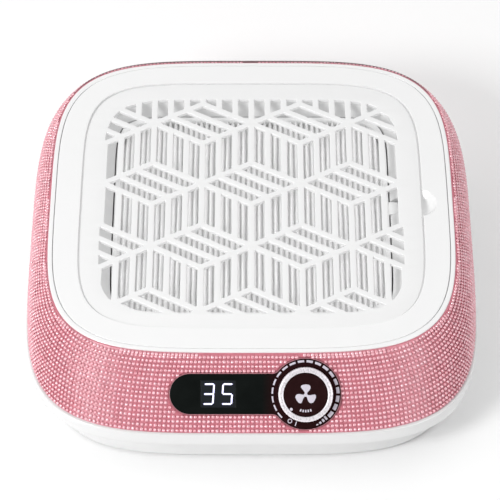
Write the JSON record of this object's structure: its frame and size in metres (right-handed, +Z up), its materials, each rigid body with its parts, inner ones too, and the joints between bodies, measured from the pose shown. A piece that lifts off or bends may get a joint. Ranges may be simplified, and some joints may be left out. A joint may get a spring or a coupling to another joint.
{
  "type": "nail dust collector",
  "caption": "Square tabletop nail dust extractor with a lattice grille over a pleated filter, a centrifugal blower, and a front slope with a display and a speed knob.",
  "frame": {"origin": "on the table, under the middle of the body", "axes": "+X to the user's right, +Y from the controls to the rear, +Z up"},
  "size_m": [0.265, 0.279, 0.065],
  "materials": {
    "white_gloss": "glossy moulded ABS, very light overall texture",
    "rubber": "matt",
    "screw_steel": "zinc plated",
    "pink_plastic": "glossy",
    "rhinestone": "cut resin stones, clear pink, sparkling",
    "duct_plastic": "light grey, satin",
    "foam": "closed-cell foam",
    "filter_plastic": "satin white",
    "filter_media": "pleated non-woven",
    "blower_plastic": "matt black",
    "can_steel": "satin",
    "magnet": "matt",
    "shaft_steel": "ground",
    "mount_alloy": "die cast",
    "lamination": "stacked laminations",
    "copper": "enamelled copper wire",
    "circuit_board": "green solder mask",
    "component": "satin",
    "lead": "PVC sleeve",
    "jack_plastic": "satin",
    "plated_pin": "nickel plated",
    "bezel_pink": "glossy, pale",
    "fascia_black": "high-gloss black",
    "window_smoke": "smoked, glossy",
    "digit_glow": "lit seven-segment digits",
    "print_white": "pad printed",
    "knob_chrome": "bright silver",
    "knob_black": "gloss, warm black"
  },
  "bodies": {
    "housing": {"base_tray": "white_gloss", "rubber_feet": "rubber", "base_screws": "screw_steel", "upper_shell": "pink_plastic", "rhinestone_skin": "rhinestone", "top_frame": "white_gloss", "top_deck": "white_gloss", "filter_well": "duct_plastic", "inlet_gasket": "foam", "blower_cover": "blower_plastic", "blower_housing": "blower_plastic", "blower_screws": "screw_steel", "motor_bearings": "shaft_steel", "motor_mount": "mount_alloy", "motor_screws": "screw_steel", "stator_core": "lamination", "stator_windings": "copper", "driver_board": "circuit_board", "motor_lead": "lead", "power_board": "circuit_board", "board_parts": "component", "board_screws": "screw_steel", "dc_jack": "jack_plastic", "dc_pin": "plated_pin", "dc_lead": "lead", "exhaust_grille": "white_gloss", "fascia_bezel": "bezel_pink", "fascia_panel": "fascia_black", "display_window": "window_smoke", "display_digits": "digit_glow", "display_module": "component", "dial_marks": "print_white", "control_board": "circuit_board", "pot_body": "component", "panel_lead": "lead"},
    "knob": {"knob_ring": "knob_chrome", "knob_cap": "knob_black", "knob_emblem": "print_white", "knob_pointer": "print_white", "pot_shaft": "shaft_steel"},
    "fan": {"impeller": "blower_plastic", "rotor_can": "can_steel", "rotor_magnet": "magnet", "motor_shaft": "shaft_steel"},
    "filter": {"filter_frame": "filter_plastic", "filter_pleats": "filter_media", "filter_gasket": "foam", "filter_tab": "filter_plastic"},
    "grille": {"grille_cover": "white_gloss"}
  },
  "joints": [
    {"name": "knob_turn", "type": "hinge", "parent": "housing", "child": "knob", "pos_m": [0.0304, -0.12209, 0.04836], "axis": [0, 0.7037, -0.7104], "range_deg": [0, 265]},
    {"name": "fan_spin", "type": "hinge", "parent": "housing", "child": "fan", "pos_m": [0, 0.012, 0.02], "axis": [0, 0, 1], "continuous": true},
    {"name": "filter_lift", "type": "slide", "parent": "housing", "child": "filter", "axis": [0, 0, 1], "range_m": [0, 0.06]},
    {"name": "grille_lift", "type": "slide", "parent": "filter", "child": "grille", "axis": [0, 0, 1], "range_m": [0, 0.05]}
  ]
}
